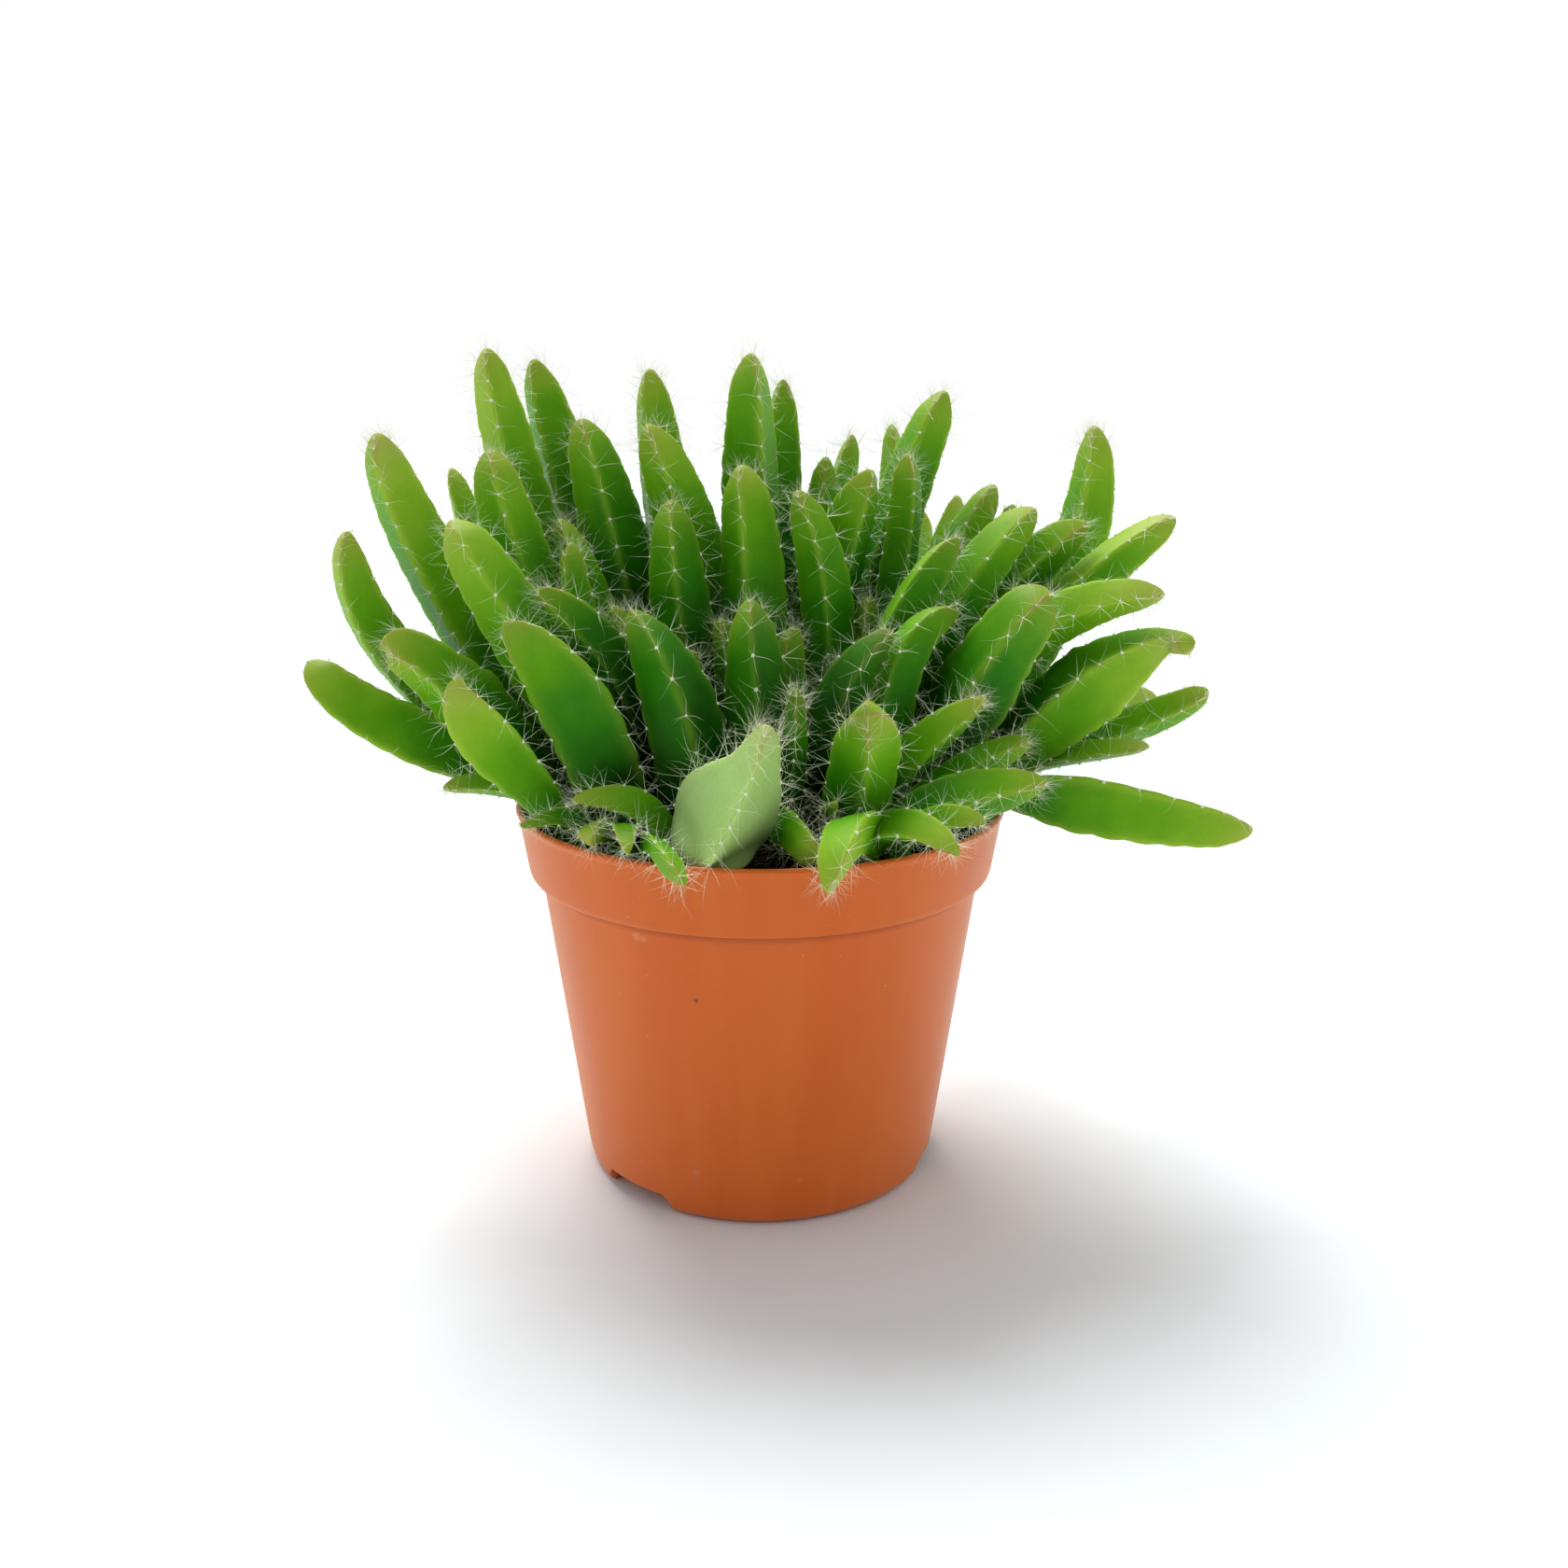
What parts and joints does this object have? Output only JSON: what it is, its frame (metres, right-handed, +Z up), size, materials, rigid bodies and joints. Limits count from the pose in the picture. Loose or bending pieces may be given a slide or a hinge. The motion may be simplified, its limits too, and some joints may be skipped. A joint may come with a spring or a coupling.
{
  "type": "potted dragon fruit cactus",
  "caption": "Crowd of upright and sprawling ribbed, spiny young cactus stems standing in dark soil in a round tapered plastic nursery pot with a rim band.",
  "frame": {"origin": "middle of the pot's underside, on the surface that it stands on", "axes": "+Z up along the pot's axis, +Y away from the viewer, so that the front in the picture faces -Y and its right is +X"},
  "size_m": [0.198, 0.1649, 0.1791],
  "materials": {
    "terracotta_plastic": "satin, terracotta-coloured moulded polypropylene",
    "peat": null,
    "cactus_skin": null
  },
  "bodies": {
    "root": {"pot": "terracotta_plastic", "soil": "peat", "plant_01": "cactus_skin", "plant_02": "cactus_skin", "plant_03": "cactus_skin", "plant_04": "cactus_skin", "plant_05": "cactus_skin", "plant_06": "cactus_skin", "plant_07": "cactus_skin", "plant_08": "cactus_skin", "plant_09": "cactus_skin", "plant_10": "cactus_skin", "plant_11": "cactus_skin", "plant_12": "cactus_skin", "plant_13": "cactus_skin", "plant_14": "cactus_skin", "plant_15": "cactus_skin", "plant_16": "cactus_skin", "plant_17": "cactus_skin", "plant_18": "cactus_skin", "plant_19": "cactus_skin", "plant_20": "cactus_skin", "plant_21": "cactus_skin", "plant_22": "cactus_skin", "plant_23": "cactus_skin", "plant_24": "cactus_skin", "plant_25": "cactus_skin", "plant_26": "cactus_skin", "plant_27": "cactus_skin", "plant_28": "cactus_skin", "plant_29": "cactus_skin", "plant_30": "cactus_skin", "plant_31": "cactus_skin", "plant_32": "cactus_skin", "plant_33": "cactus_skin", "plant_34": "cactus_skin", "plant_35": "cactus_skin", "plant_36": "cactus_skin", "plant_37": "cactus_skin", "plant_38": "cactus_skin", "plant_39": "cactus_skin", "plant_40": "cactus_skin", "plant_41": "cactus_skin", "plant_42": "cactus_skin", "plant_43": "cactus_skin", "plant_44": "cactus_skin", "plant_45": "cactus_skin", "plant_46": "cactus_skin", "plant_47": "cactus_skin", "plant_48": "cactus_skin", "plant_49": "cactus_skin", "plant_50": "cactus_skin", "plant_51": "cactus_skin", "plant_52": "cactus_skin", "plant_53": "cactus_skin", "plant_54": "cactus_skin", "plant_55": "cactus_skin", "plant_56": "cactus_skin", "plant_57": "cactus_skin"}
  },
  "joints": []
}
